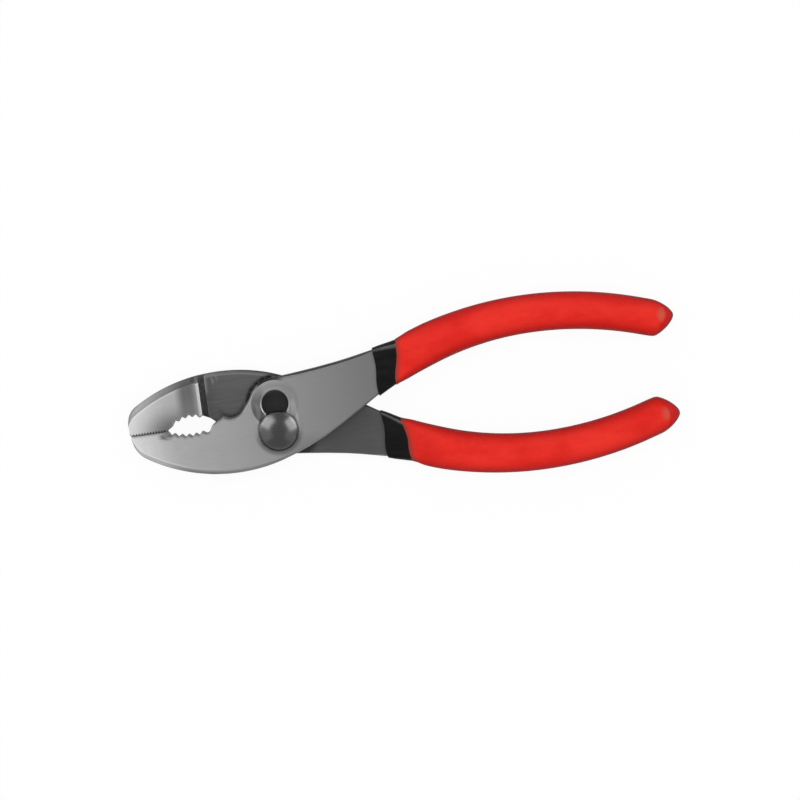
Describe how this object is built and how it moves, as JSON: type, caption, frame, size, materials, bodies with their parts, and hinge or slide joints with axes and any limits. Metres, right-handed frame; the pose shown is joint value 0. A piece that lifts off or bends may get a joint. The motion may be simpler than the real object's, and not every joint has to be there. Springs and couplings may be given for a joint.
{
  "type": "slip joint pliers",
  "caption": "Slip joint pliers: lapped steel levers on a pivot bolt in a keyhole slot, serrated jaws with a pipe grip and a wire notch, and dipped, layered handle grips.",
  "frame": {"origin": "on the pivot axis, in the plane of the nut's outer face, on which the tool lies", "axes": "+X along the closed jaw line from the nose to the handles, +Y towards the front lever's handle, +Z along the pivot axis out of the bolt's head"},
  "size_m": [0.1663, 0.0529, 0.0134],
  "materials": {
    "front_steel": "satin ground forged steel",
    "rear_steel": "satin ground forged steel, darker",
    "bolt_steel": "smooth satin turned steel",
    "grip_base": "black dipped vinyl, satin",
    "grip_cover": "red dipped vinyl, soft gloss"
  },
  "bodies": {
    "front_half": {"front_lever": "front_steel", "front_grip_base": "grip_base", "front_grip_cover": "grip_cover"},
    "pivot": {"pivot_bolt": "bolt_steel", "pivot_nut": "bolt_steel"},
    "rear_half": {"rear_lever": "rear_steel", "rear_grip_base": "grip_base", "rear_grip_cover": "grip_cover"}
  },
  "joints": [
    {"name": "slip_slide", "type": "slide", "parent": "front_half", "child": "pivot", "axis": [0, 1, 0], "range_m": [0, 0.00815]},
    {"name": "jaw_pivot", "type": "hinge", "parent": "pivot", "child": "rear_half", "pos_m": [0, 0, 0], "axis": [0, 0, -1], "range_deg": [0, 60]}
  ]
}
